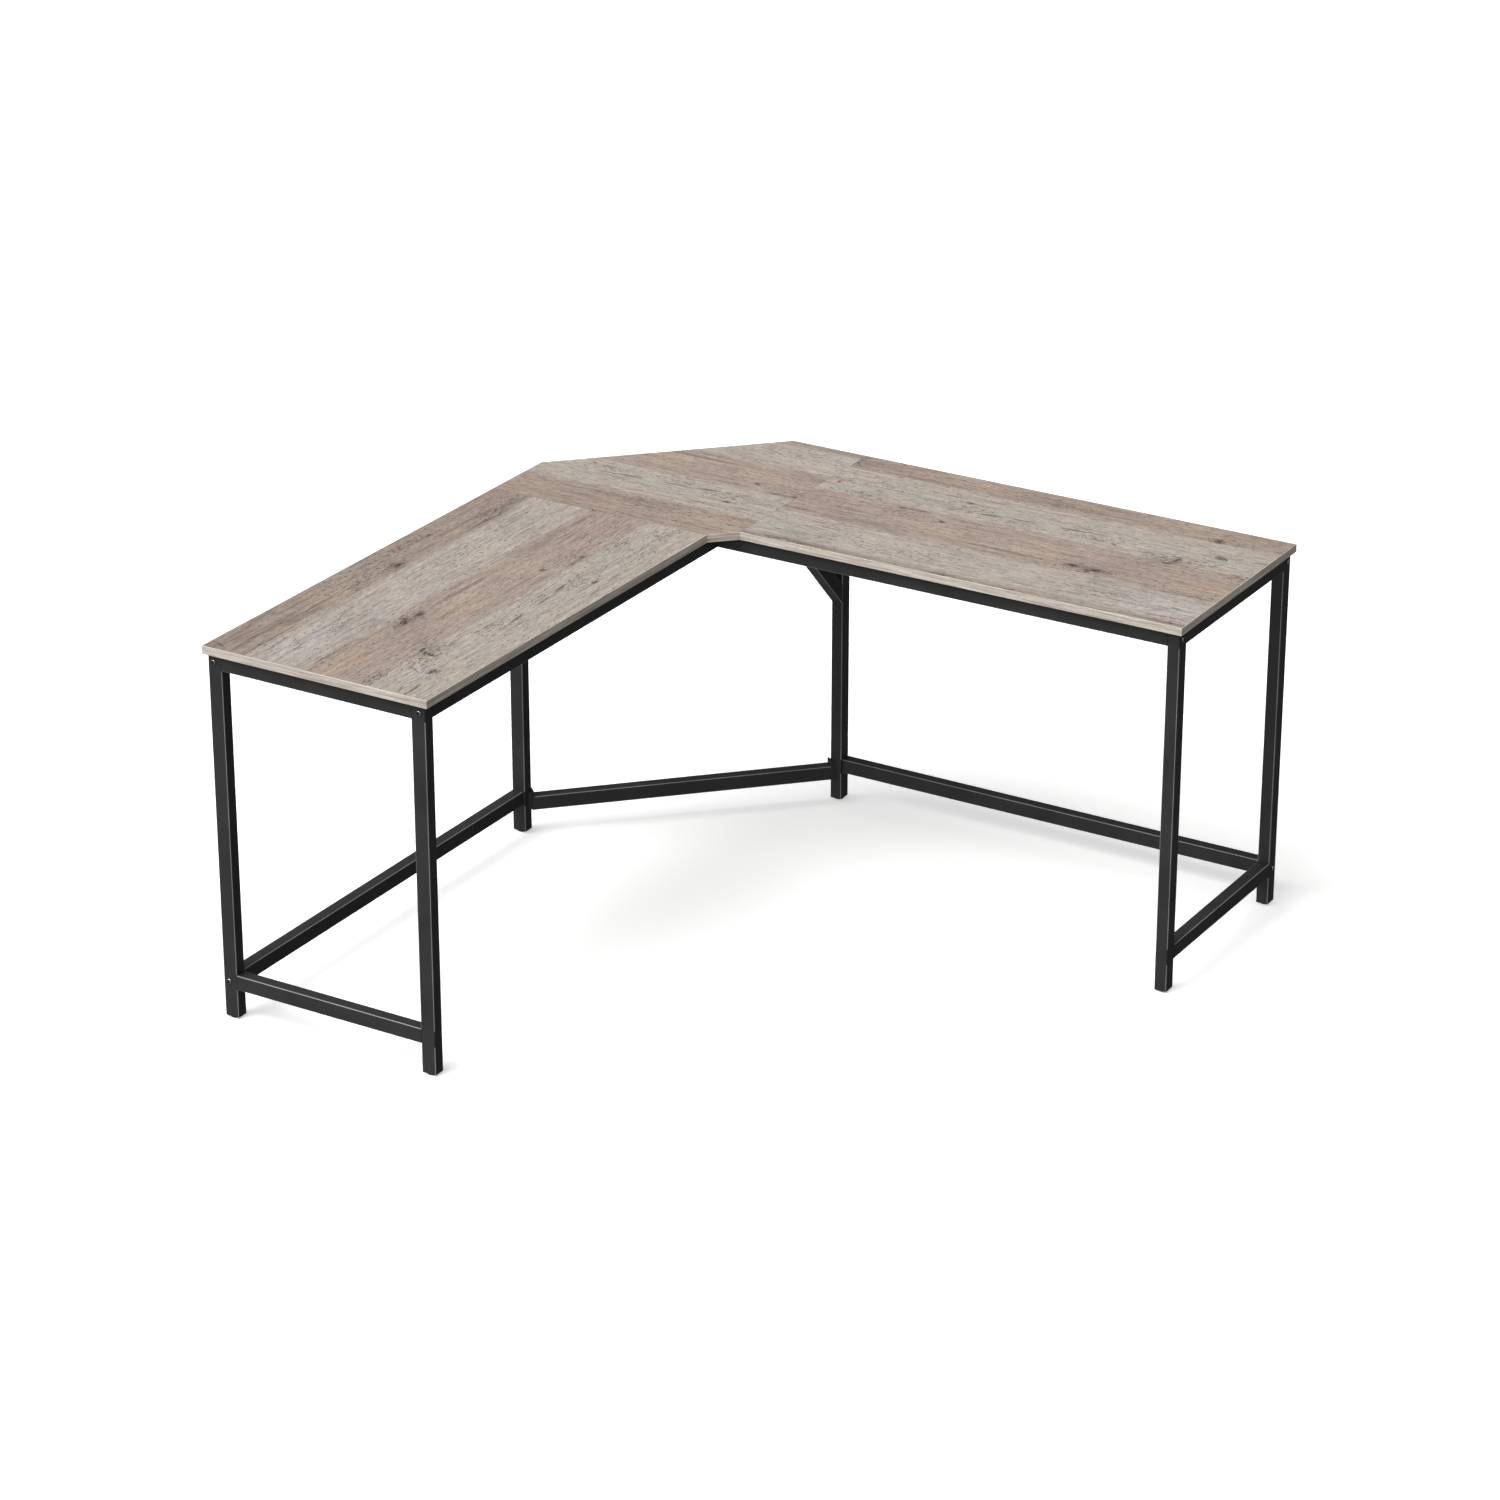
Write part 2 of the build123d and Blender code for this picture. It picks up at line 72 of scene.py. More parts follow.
class Tree:
    """A node tree, with short ways to add the nodes that the materials share."""

    def __init__(self, tree):
        self.tree = tree
        tree.nodes.clear()

    def add(self, kind, **settings):
        node = self.tree.nodes.new("ShaderNode" + kind)
        for name, value in settings.items():
            setattr(node, name, value)
        return node

    def feed(self, socket, value):
        if isinstance(value, bpy.types.NodeSocket):
            self.tree.links.new(value, socket)
        else:
            socket.default_value = value

    def math(self, operation, a, b=0.0, clamp=False):
        node = self.add("Math", operation=operation, use_clamp=clamp)
        self.feed(node.inputs[0], a)
        self.feed(node.inputs[1], b)
        return node.outputs[0]

    def scaled(self, value, share, base):
        """The value times share, plus base."""
        return self.math("ADD", self.math("MULTIPLY", value, share), base)

    def vector(self, operation, a, b=(0, 0, 0)):
        node = self.add("VectorMath", operation=operation)
        self.feed(node.inputs[0], a)
        self.feed(node.inputs[1], b)
        return node.outputs["Value" if operation in ("LENGTH", "DOT_PRODUCT") else "Vector"]

    def place(self, vector, shift=(0, 0, 0), turn=0.0, scale=(1, 1, 1)):
        """The vector scaled, then turned about Z, then shifted."""
        return self.mapping("POINT", vector, shift, turn, scale)

    def seen_from(self, vector, origin, turn, size):
        """The vector as measured from origin, along axes turned about Z, in units of size."""
        return self.mapping("TEXTURE", vector, origin, turn, size)

    def mapping(self, kind, vector, location, turn, scale):
        node = self.add("Mapping", vector_type=kind)
        self.feed(node.inputs["Vector"], vector)
        node.inputs["Location"].default_value = location
        node.inputs["Rotation"].default_value = (0, 0, turn)
        node.inputs["Scale"].default_value = scale
        return node.outputs[0]

    def spread(self, value, low, high, to_low=0.0, to_high=1.0):
        """A smooth step from low to high."""
        node = self.add("MapRange", interpolation_type="SMOOTHSTEP")
        for socket, number in zip(node.inputs, (value, low, high, to_low, to_high)):
            self.feed(socket, number)
        return node.outputs[0]

    def noise(self, vector, size, detail=3.0, rough=0.55, twist=0.0):
        """Noise from 0 to 1 whose lumps measure size = (x, y, z)."""
        node = self.add("TexNoise")
        self.feed(node.inputs["Vector"], self.seen_from(vector, (0, 0, 0), 0, size))
        node.inputs["Scale"].default_value = 1.0
        node.inputs["Detail"].default_value = detail
        node.inputs["Roughness"].default_value = rough
        node.inputs["Distortion"].default_value = twist
        return node.outputs["Fac"]

    def mix(self, amount, a, b, blend="MIX"):
        node = self.add("Mix", data_type="RGBA", blend_type=blend)
        for place, value in zip((0, 6, 7), (amount, a, b)):
            self.feed(node.inputs[place], value)
        return node.outputs[2]

    def join(self, x, y, z):
        node = self.add("CombineXYZ")
        for socket, value in zip(node.inputs, (x, y, z)):
            self.feed(socket, value)
        return node.outputs[0]

    def split(self, vector):
        node = self.add("SeparateXYZ")
        self.feed(node.inputs[0], vector)
        return node.outputs

    def grey(self, value):
        return self.join(value, value, value)

    def ramp(self, value, stops):
        """A colour ramp through (position, sRGB colour) stops."""
        node = self.add("ValToRGB")
        ramp = node.color_ramp
        while len(ramp.elements) < len(stops):
            ramp.elements.new(0.5)
        for element, (position, colour) in zip(ramp.elements, stops):
            element.position = position
            element.color = linear(colour)
        self.feed(node.inputs[0], value)
        return node.outputs[0]


def new_material(name):
    """A material with one shader, and the tree and shader to work on."""
    material = bpy.data.materials.new(name)
    material.use_nodes = True
    tree = Tree(material.node_tree)
    shader = tree.add("BsdfPrincipled")
    output = tree.add("OutputMaterial")
    tree.tree.links.new(shader.outputs[0], output.inputs["Surface"])
    return material, tree, shader


def bump(tree, shader, height, depth, strength=1.0):
    """Raises the surface by height (0 to 1) times depth, in metres."""
    node = tree.add("Bump")
    node.inputs["Strength"].default_value = strength
    node.inputs["Distance"].default_value = depth
    tree.feed(node.inputs["Height"], height)
    tree.tree.links.new(node.outputs[0], shader.inputs["Normal"])


# ---------------------------------------------------------------- laminate print
# One printed sheet covers every board. Its places are given in mm: u along the grain, v across it.

PRINT_WIDTH = 570
NO_HEIGHT = 1e6
FAR_OFF = 1e6

# planks across the sheet: the v where each ends, and its colour
PLANKS = [
    (71, (163, 146, 135)),
    (211, (177, 167, 157)),
    (348, (167, 151, 141)),
    (476, (176, 166, 158)),
    (570, (158, 143, 132)),
]
PLANK_BLEND = 9
PLANK_FINGERS = 50

# how far the grain wanders across the sheet in mm, and what share of the shorter shake the fibres
# follow across the grain, and torn marks along it
GRAIN_DRIFT = 20
GRAIN_SHAKE = 10
FIBRE_SHAKE = 0.4
TORN_SHAKE = 1.6

# noises: size of their lumps along the grain, across it and in depth, in mm, then detail, roughness, twist
PRINT_NOISES = {
    "wander": ((220, 70, 1), 2, 0.55, 0),
    "jitter": ((26, 6, 1), 4, 0.6, 0),
    "fingers": ((160, 6, 1), 3, 0.55, 0),
    "broad": ((240, 11, 1), 4, 0.6, 0),
    "middle": ((90, 4.2, 1), 5, 0.68, 0),
    "fine": ((24, 2.2, 1), 4, 0.7, 0),
    "lumps": ((34, 18, 1), 5, 0.62, 0),
    "tints": ((110, 34, 1), 4, 0.6, 0),
    "flakes": ((13, 2.8, 1), 4, 0.65, 0.5),
    "chalk": ((10, 3.2, 1.7), 4, 0.7, 0.6),
    "threads": ((150, 2.4, 2.3), 4, 0.6, 0),
    "crumbs": ((4, 2.4, 1), 3, 0.55, 0),
}

# how light the print is, and how strongly each noise swings that
PRINT_LIGHT = 0.945
GRAIN_SHARES = {"broad": 0.5, "middle": 1.1, "fine": 1.7, "lumps": 0.35}

# where each noise, and a knot's mask, turns from nothing to a full mark
BREAK_STEP = (0.44, 0.58)
TINT_STEP = (0.38, 0.62)
PORE_STEP = (0.605, 0.665)
CHALK_STEP = (0.53, 0.66)
WOODY_STEP = (0.62, 0.40)
THREAD_STEP = (0.60, 0.68)
CRUMB_STEP = (0.44, 0.56)
KNOT_STEP = (0.66, 0.84)

# how much wear there is everywhere, how much wear adds to the pores and dark bands to the threads,
# and how strong the threads are
WORN_EVERYWHERE = 0.2
PORES_WORN = 0.085
THREADS_WOODY = 0.06
THREAD_STRENGTH = 0.6

# the slight warm and cool tints that drift across the print
WARMER = (1.018, 0.994, 0.982, 1)
COOLER = (0.984, 1.005, 1.004, 1)

# how far the middle grain raises the print, and how it roughens it: share, then base
RELIEF_MIDDLE = 0.6
PRINT_ROUGH = (0.2, 0.42)

# the share of a soft spot's size that is at full strength
SPOT_CORE = 0.3

# what is left of each kind of mark between its pieces
MARK_LEFT = {"streak": 0.3, "patch": 0.35, "pale_line": 0.3, "core": 0.08, "crack": 0.5}

# what covers the wood, from the bottom up: strength and colour
MARK_COVER = {
    "chalk": (0.6, GLINT),
    "pale_line": (0.8, GLINT),
    "soft": (0.85, MARK_SOFT),
    "hard": (0.8, MARK_DARK),
    "core": (0.95, KNOT_DARK),
}

# closed lines in a knot and in a swirl: radians of wave from the spot's edge to its centre, the wave's
# heights where a line starts and is full, how far in the lines start and are full, and their strength
KNOT_RINGS = (26, (0.2, 0.9), (0.03, 0.35), 0.5)
SWIRL_RINGS = (36, (0.1, 0.9), (0.02, 0.3), 0.42)

# how much larger than its core a knot's rings reach
KNOT_REACH = 2.2

# soft tints: the tint, then its places: u, v, half length, half width, strength
WASHES = [
    ((184, 172, 161), [(820, 400, 150, 45, 0.6), (1050, 430, 140, 50, 0.5)]),
    ((171, 166, 155), [(700, 160, 170, 60, 0.6), (980, 150, 140, 50, 0.45), (590, 425, 110, 44, 0.6)]),
    ((172, 156, 142), [(880, 290, 120, 40, 0.7), (780, 25, 120, 25, 0.6), (1300, 35, 120, 26, 0.5),
                       (1130, 520, 160, 40, 0.5)]),
    ((158, 143, 134), [(1240, 300, 140, 55, 0.6), (700, 330, 170, 26, 0.6), (960, 35, 110, 22, 0.6)]),
    ((150, 134, 127), [(555, 40, 90, 40, 0.6), (1440, 535, 90, 30, 0.7), (580, 530, 90, 45, 0.6)]),
    ((166, 145, 138), [(600, 265, 120, 45, 0.6)]),
    ((176, 157, 140), [(1080, 275, 110, 45, 0.6), (1440, 300, 90, 55, 0.75)]),
    ((184, 176, 170), [(1410, 425, 130, 60, 0.85), (1402, 162, 66, 44, 0.95), (1120, 168, 70, 24, 0.4)]),
]

# dark marks in broken grain: u, v, half length, half width, strength
STREAKS = [
    (772, 219, 48, 9, 0.9),
    (900, 222, 80, 7, 0.45),
    (1040, 317, 200, 6, 0.8),
    (1190, 316, 80, 12, 0.9),
    (575, 326, 52, 9, 0.75),
    (662, 336, 60, 7, 0.5),
    (1135, 274, 40, 4, 0.8),
    (930, 244, 110, 5, 0.5),
    (1400, 346, 100, 6, 0.6),
    (700, 62, 150, 6, 0.5),
    (1020, 50, 110, 14, 0.45),
    (900, 66, 70, 7, 0.5),
    (1340, 70, 120, 7, 0.55),
    (660, 481, 120, 9, 0.9),
    (530, 488, 50, 9, 0.6),
    (980, 482, 40, 7, 0.8),
    (1405, 480, 140, 7, 0.65),
    (1385, 511, 150, 7, 0.9),
    (1320, 517, 70, 8, 0.7),
    (1480, 508, 50, 6, 0.9),
    (1215, 540, 150, 5, 0.6),
    (1065, 530, 90, 5, 0.6),
    (1405, 552, 120, 6, 0.6),
    (625, 443, 50, 5, 0.6),
    (1310, 430, 150, 5, 0.5),
    (1425, 458, 100, 5, 0.5),
    (1190, 470, 110, 4, 0.5),
    (615, 470, 90, 6, 0.45),
    (808, 345, 80, 4, 0.45),
    (828, 533, 42, 6, 0.6),
    (560, 302, 70, 4, 0.45),
    (583, 213, 100, 4, 0.5),
    (980, 212, 100, 4, 0.35),
    (1455, 478, 90, 4, 0.9),
    (1440, 347, 80, 4, 0.8),
    (650, 211, 110, 3.5, 0.7),
    (1250, 508, 160, 4, 0.7),
    (860, 500, 70, 5, 0.6),
    (700, 512, 120, 5, 0.6),
    (1450, 540, 70, 4, 0.8),
]

# soft dark patches: u, v, half length, half width, strength
PATCHES = [
    (641, 505, 40, 18, 0.5),
    (593, 495, 46, 13, 0.4),
    (1327, 497, 34, 19, 0.55),
    (1353, 558, 30, 11, 0.55),
    (1498, 552, 30, 20, 0.6),
    (529, 30, 30, 38, 0.35),
    (1190, 318, 70, 12, 0.45),
    (732, 322, 70, 14, 0.35),
    (973, 500, 34, 13, 0.4),
    (1086, 505, 40, 11, 0.4),
    (1010, 50, 56, 11, 0.35),
    (1310, 205, 76, 28, 0.25),
    (871, 545, 66, 20, 0.35),
]

# worn, crackled places: u, v, half length, half width, strength
SPECKLES = [
    (571, 148, 80, 34, 0.8),
    (668, 140, 110, 32, 0.6),
    (625, 195, 90, 18, 0.8),
    (1330, 192, 115, 40, 1.0),
    (1128, 165, 90, 28, 0.9),
    (1000, 178, 110, 16, 0.7),
    (850, 150, 90, 36, 0.65),
    (1471, 215, 60, 24, 1.0),
    (1200, 325, 105, 26, 0.95),
    (764, 240, 90, 24, 0.75),
    (839, 420, 170, 50, 0.5),
    (614, 500, 140, 34, 0.95),
    (978, 498, 80, 26, 1.0),
    (1096, 500, 70, 30, 1.0),
    (1353, 420, 180, 34, 0.5),
    (1449, 470, 110, 20, 0.6),
    (1000, 530, 340, 40, 0.6),
    (1417, 330, 110, 34, 0.5),
    (892, 45, 340, 38, 0.5),
    (1364, 60, 80, 20, 0.8),
    (529, 40, 70, 46, 0.6),
]

# knots: u, v, half length, half width, strength
KNOTS = [
    (1348, 65, 8, 8, 1.0),
    (844, 129, 7, 4, 1.0),
    (1388, 143, 10, 8, 1.0),
    (1399, 147, 7, 7, 0.9),
    (1323, 190, 5, 7, 1.0),
    (1322, 203, 8, 4, 1.0),
    (1311, 217, 10, 3, 1.0),
    (1505, 127, 4, 3, 0.8),
    (741, 219, 8, 5, 0.9),
    (844, 246, 6, 4, 1.0),
    (1165, 319, 9, 5, 0.9),
    (1214, 320, 9, 6, 1.0),
    (1198, 327, 6, 4, 0.8),
    (504, 333, 7, 5, 0.9),
    (488, 326, 6, 4, 0.9),
    (802, 532, 7, 4, 0.9),
    (973, 494, 13, 7, 0.8),
    (1375, 347, 5, 3, 0.7),
    (970, 198, 6, 3, 0.7),
    (668, 385, 4, 3, 0.7),
    (577, 196, 5, 4, 0.7),
    (625, 67, 5, 4, 0.7),
    (1000, 62, 9, 3, 0.6),
]

# growth lines that wrap the large knots: u, v, half length, half width, strength
SWIRLS = [
    (1393, 146, 52, 29, 1.0),
    (1318, 204, 44, 20, 0.8),
    (1346, 66, 34, 16, 0.7),
    (741, 221, 40, 14, 0.7),
    (1200, 322, 60, 16, 0.6),
    (972, 496, 46, 18, 0.6),
]

# thin cracks: u and v of one end, u and v of the other, half width, strength
CRACKS = [
    (872, 171, 941, 163, 5.8, 1),
    (941, 163, 1011, 157, 4.4, 0.9),
    (1037, 158, 1134, 150, 4.8, 1),
    (1439, 130, 1512, 125, 5.1, 1),
    (1388, 190, 1415, 155, 4.4, 0.7),
    (1471, 152, 1508, 143, 4.1, 0.8),
    (572, 300, 764, 296, 4.1, 0.6),
    (855, 106, 925, 98, 4.4, 0.7),
    (759, 114, 839, 110, 4.4, 0.7),
    (877, 560, 909, 522, 4.8, 0.7),
    (898, 562, 925, 525, 4.4, 0.6),
    (1482, 560, 1501, 525, 4.8, 0.9),
    (802, 560, 823, 530, 4.8, 0.6),
    (561, 560, 577, 530, 4.8, 0.55),
    (513, 8, 572, 78, 4.8, 0.55),
]

# worn plank edges that catch the light, given as the cracks are
PALE_LINES = [
    (520, 77, 680, 78, 3.0, 0.8),
    (658, 78, 850, 77, 2.6, 0.45),
    (1310, 78, 1514, 77, 2.6, 0.45),
    (840, 306, 1064, 308, 3.8, 0.45),
    (513, 290, 636, 286, 3.4, 0.4),
    (513, 305, 680, 303, 3.0, 0.4),
    (1278, 450, 1514, 446, 3.4, 0.45),
    (1257, 476, 1514, 474, 2.8, 0.6),
    (1235, 486, 1503, 484, 2.8, 0.4),
]


def marks(tree, sheet, places):
    """The strongest of some soft spots: each has centre, half sizes, strength and turn.

    The result so far is carried in the vector's z, so that each spot waits for the one before it:
    the renderer has room for only a few values at a time."""
    for (u, v), (half_u, half_v), strength, turn in places:
        away = tree.seen_from(sheet, (u, v, 0), turn, (half_u, half_v, NO_HEIGHT))
        mask = tree.spread(tree.vector("LENGTH", away), SPOT_CORE, 1.0, strength, 0.0)
        sheet = tree.vector("MAXIMUM", sheet, tree.join(-FAR_OFF, -FAR_OFF, mask))
    return tree.split(sheet)[2]


def spots(rows, grow=1.0):
    """Soft spots from rows of centre, half sizes and strength."""
    return [((u, v), (half_u * grow, half_v * grow), strength, 0)
            for u, v, half_u, half_v, strength in rows]


def lines(rows):
    """Soft spots drawn out between two ends, from rows of ends, half width and strength."""
    found = []
    for u0, v0, u1, v1, half, strength in rows:
        centre = ((u0 + u1) / 2, (v0 + v1) / 2)
        reach = math.hypot(u1 - u0, v1 - v0) / 2
        found.append((centre, (reach, half), strength, math.atan2(v1 - v0, u1 - u0)))
    return found


def print_noise(tree, name, where):
    """One of the print's own noises."""
    size, detail, rough, twist = PRINT_NOISES[name]
    return tree.noise(where, size, detail, rough, twist)


def swing(tree, noise, reach):
    """The noise as a swing to both sides of 0."""
    return tree.math("MULTIPLY", tree.math("SUBTRACT", noise, 0.5), reach)


def at_least(tree, mask, least):
    """The mask raised so that it runs from least to 1."""
    return tree.scaled(mask, 1 - least, least)


def broken_up(tree, kind, mask, breaks):
    """The mask where breaks is 1, and what is left of this kind of mark where breaks is 0."""
    return tree.math("MULTIPLY", mask, at_least(tree, breaks, MARK_LEFT[kind]))


def bend_grain(tree, sheet):
    """The sheet as its fibres run, and as its torn marks lie: both wander across the grain."""
    drift = swing(tree, print_noise(tree, "wander", sheet), GRAIN_DRIFT)
    shake = swing(tree, print_noise(tree, "jitter", sheet), GRAIN_SHAKE)
    across = tree.math("ADD", drift, tree.math("MULTIPLY", shake, FIBRE_SHAKE))
    bent = tree.vector("ADD", sheet, tree.join(0, across, 0))
    along = tree.math("MULTIPLY", shake, TORN_SHAKE)
    torn = tree.vector("ADD", sheet, tree.join(along, shake, 0))
    return bent, torn


def plank_colours(tree, bent, torn):
    """The planks, their edges drawn out along the grain, with the soft tints over them."""
    stops = []
    for i, (end, colour) in enumerate(PLANKS):
        start = PLANKS[i - 1][0] + PLANK_BLEND if i else 0
        stops += [(start / PRINT_WIDTH, colour), ((end - PLANK_BLEND) / PRINT_WIDTH, colour)]
    fingers = swing(tree, print_noise(tree, "fingers", bent), PLANK_FINGERS)
    across = tree.math("ADD", tree.split(torn)[1], fingers)
    colour = tree.ramp(tree.math("DIVIDE", across, PRINT_WIDTH), stops)
    for tint, rows in WASHES:
        colour = tree.mix(marks(tree, bent, spots(rows)), colour, linear(tint))
    return colour


def shade_grain(tree, sheet, grain, colour):
    """The colour lightened and darkened by the grain, with faint warm and cool places."""
    layers = dict(grain, lumps=print_noise(tree, "lumps", sheet))
    light = PRINT_LIGHT
    for name, share in GRAIN_SHARES.items():
        light = tree.math("ADD", light, swing(tree, layers[name], share))
    colour = tree.mix(1.0, colour, tree.grey(light), "MULTIPLY")
    warmth = tree.spread(print_noise(tree, "tints", sheet), *TINT_STEP)
    return tree.mix(1.0, colour, tree.mix(warmth, WARMER, COOLER), "MULTIPLY")


def ring_lines(tree, mask, radians, step, fade, strength):
    """Thin closed lines round soft spots, fading at the spots' edges."""
    wave = tree.spread(tree.math("SINE", tree.math("MULTIPLY", mask, radians)), *step)
    return tree.math("MULTIPLY", wave, tree.math("MULTIPLY", tree.spread(mask, *fade), strength))


def soft_marks(tree, bent, torn, breaks):
    """Dark streaks, patches and the growth lines round the large knots."""
    streak = broken_up(tree, "streak", marks(tree, bent, spots(STREAKS)), breaks)
    patch = broken_up(tree, "patch", marks(tree, torn, spots(PATCHES)), breaks)
    swirl = ring_lines(tree, marks(tree, torn, spots(SWIRLS)), *SWIRL_RINGS)
    return tree.math("MAXIMUM", tree.math("MAXIMUM", streak, patch), swirl)


def open_pores(tree, bent, worn):
    """Small dark flakes, more of them in worn places."""
    flakes = tree.math("ADD", print_noise(tree, "flakes", bent), tree.math("MULTIPLY", worn, PORES_WORN))
    return tree.spread(flakes, *PORE_STEP)


def long_threads(tree, bent, broad):
    """Fine dark lines along the grain, more of them in its dark bands."""
    woody = tree.math("MULTIPLY", tree.spread(broad, *WOODY_STEP), THREADS_WOODY)
    threads = tree.math("ADD", print_noise(tree, "threads", bent), woody)
    return tree.math("MULTIPLY", tree.spread(threads, *THREAD_STEP), THREAD_STRENGTH)


def laminate_sheet():
    """The node group of the print: sheet place in, colour, roughness and height out."""
    group = bpy.data.node_groups.new("laminate_print", "ShaderNodeTree")
    group.interface.new_socket("Sheet", in_out="INPUT", socket_type="NodeSocketVector")
    group.interface.new_socket("Color", in_out="OUTPUT", socket_type="NodeSocketColor")
    group.interface.new_socket("Roughness", in_out="OUTPUT", socket_type="NodeSocketFloat")
    group.interface.new_socket("Height", in_out="OUTPUT", socket_type="NodeSocketFloat")
    tree = Tree(group)
    sheet = tree.tree.nodes.new("NodeGroupInput").outputs[0]
    out = tree.tree.nodes.new("NodeGroupOutput")

    bent, torn = bend_grain(tree, sheet)
    grain = {name: print_noise(tree, name, bent) for name in ("broad", "middle", "fine")}
    colour = shade_grain(tree, sheet, grain, plank_colours(tree, bent, torn))

    # marks
    breaks = tree.spread(grain["middle"], *BREAK_STEP)
    crumbs = tree.spread(print_noise(tree, "crumbs", sheet), *CRUMB_STEP)
    worn = at_least(tree, marks(tree, bent, spots(SPECKLES)), WORN_EVERYWHERE)
    pores = open_pores(tree, bent, worn)
    knot = marks(tree, torn, spots(KNOTS, KNOT_REACH))
    crack = broken_up(tree, "crack", marks(tree, sheet, lines(CRACKS)), crumbs)
    pores_and_threads = tree.math("MAXIMUM", pores, long_threads(tree, bent, grain["broad"]))
    cracks_and_rings = tree.math("MAXIMUM", crack, ring_lines(tree, knot, *KNOT_RINGS))
    masks = {
        "chalk": tree.math("MULTIPLY", worn, tree.spread(print_noise(tree, "chalk", bent), *CHALK_STEP)),
        "pale_line": broken_up(tree, "pale_line", marks(tree, bent, lines(PALE_LINES)), breaks),
        "soft": soft_marks(tree, bent, torn, breaks),
        "hard": tree.math("MAXIMUM", pores_and_threads, cracks_and_rings),
        "core": broken_up(tree, "core", tree.spread(knot, *KNOT_STEP), crumbs),
    }
    for kind, (strength, tint) in MARK_COVER.items():
        colour = tree.mix(tree.math("MULTIPLY", masks[kind], strength), colour, linear(tint))

    relief = tree.scaled(grain["middle"], RELIEF_MIDDLE, grain["fine"])
    tree.tree.links.new(colour, out.inputs[0])
    tree.feed(out.inputs[1], tree.scaled(grain["middle"], *PRINT_ROUGH))
    tree.feed(out.inputs[2], tree.math("SUBTRACT", relief, tree.math("MAXIMUM", pores, masks["core"])))
    return group


# ---------------------------------------------------------------- the other finishes

# noises: size of their lumps along x, y and z in metres, then detail and roughness where these aren't
# the usual ones
FINISH_NOISES = {
    "chips": ((0.0035, 0.0035, 0.0012), 4),
    "band": ((0.22, 0.22, 0.006), 4, 0.65),
    "band_threads": ((0.07, 0.07, 0.0026), 4, 0.7),
    "band_flecks": ((0.016, 0.016, 0.0018), 3),
    "peel": ((0.0011, 0.0011, 0.0011), 3, 0.5),
    "coat": ((0.09, 0.09, 0.09), 3),
    "dust": ((0.0007, 0.0007, 0.0007), 2),
    "oxide": ((0.0016, 0.0016, 0.0016), 4, 0.6),
    "spangle": ((0.006, 0.006, 0.006), 5, 0.65),
    "scratches": ((0.012, 0.0004, 0.012), 3),
    "spark": ((0.0006, 0.0006, 0.0006), 3, 0.6),
    "plastic": ((0.008, 0.008, 0.008),),
    "paint": ((1.5, 1.5, 1.5),),
}

# height of each finish's relief, in metres
RELIEF = {
    "laminate": 0.00012,
    "edge_band": 0.00008,
    "black_steel": 0.00004,
    "black_bolt": 0.00003,
    "zinc_steel": 0.00002,
    "black_plastic": 0.00004,
}

# how strongly light glances off the finishes that are duller than the shader's usual 0.5
GLANCE = {"laminate": 0.3, "edge_band": 0.35, "black_steel": 0.25, "paint": 0.1}

# a board's surface is a cut side when its normal rises less than this
CUT_SIDE = 0.5

# edge band: where flecks start and are full and their strength, contrast of its threads, roughness as
# share and base, how upright the top arris is for its painted highlight and that highlight's strength
FLECK_STEP = (0.60, 0.72)
FLECK_STRENGTH = 0.5
BAND_CONTRAST = 1.5
BAND_ROUGH = (0.15, 0.42)
ARRIS_HIGHLIGHT_STEP = (0.3, 0.8)
ARRIS_HIGHLIGHT_STRENGTH = 0.75

# powder coat: dust specks as the flecks, roughness as share and base and what the peel adds
DUST_STEP = (0.66, 0.78)
DUST_STRENGTH = 0.25
COAT_ROUGH = (0.12, 0.34)
PEEL_ROUGH = 0.08

# values that follow a noise: the noise from and to, and the value from and to
CORNER_HIGHLIGHT_PATCHES = (0.3, 0.7, 0.7, 1.0)
OXIDE_ROUGH = (0.3, 0.7, 0.18, 0.28)
ZINC_ROUGH = (0.3, 0.7, 0.28, 0.46)
PLASTIC_ROUGH = (0.3, 0.7, 0.5, 0.66)
OXIDE_METAL = 0.9
ZINC_METAL = 1.0

# how the sheet lies on each board: quarter turns, shift from the desk's outer corner in metres, and
# stretch along the grain
SHEET_ON = {
    "right_panel": (0, (0.0, 0.0), 1.0),
    "left_panel": (1, (-0.0707, -0.570), 1.0707),
    "corner_panel": (2, (1.276, -0.496), 1.0),
}


def laminate(board, group):
    """The print as it lies on one board, with the chipboard core on the cut sides."""
    material, tree, shader = new_material("laminate_" + board)
    turns, (shift_u, shift_v), stretch = SHEET_ON[board]
    corner = Vector((cad_low.x, cad_high.y))
    away = {0: Vector((-corner.x, -corner.y)), 1: Vector((corner.y, -corner.x)), 2: corner}[turns]
    here = tree.add("TexCoord").outputs["Object"]
    laid = tree.place(here, turn=turns * math.pi / 2, scale=(1 / MM, 1 / MM, 1 / MM),
                      shift=(away.x / MM, (away.y + shift_v) / MM, 0))
    laid = tree.place(laid, scale=(stretch, 1, 1), shift=(shift_u / MM, 0, 0))
    sheet = tree.vector("MULTIPLY", laid, (1, -1, 0))
    printed = tree.add("Group", node_tree=group)
    tree.tree.links.new(sheet, printed.inputs[0])

    # the cut sides show the board's chips
    upright = tree.split(tree.add("NewGeometry").outputs["Normal"])[2]
    side = tree.math("LESS_THAN", tree.math("ABSOLUTE", upright), CUT_SIDE)
    core = tree.ramp(tree.noise(here, *FINISH_NOISES["chips"]), BOARD_CHIPS)
    tree.feed(shader.inputs["Base Color"], tree.mix(side, printed.outputs[0], core))
    tree.feed(shader.inputs["Roughness"], printed.outputs[1])
    shader.inputs["Specular IOR Level"].default_value = GLANCE["laminate"]
    bump(tree, shader, printed.outputs[2], RELIEF["laminate"])
    return material


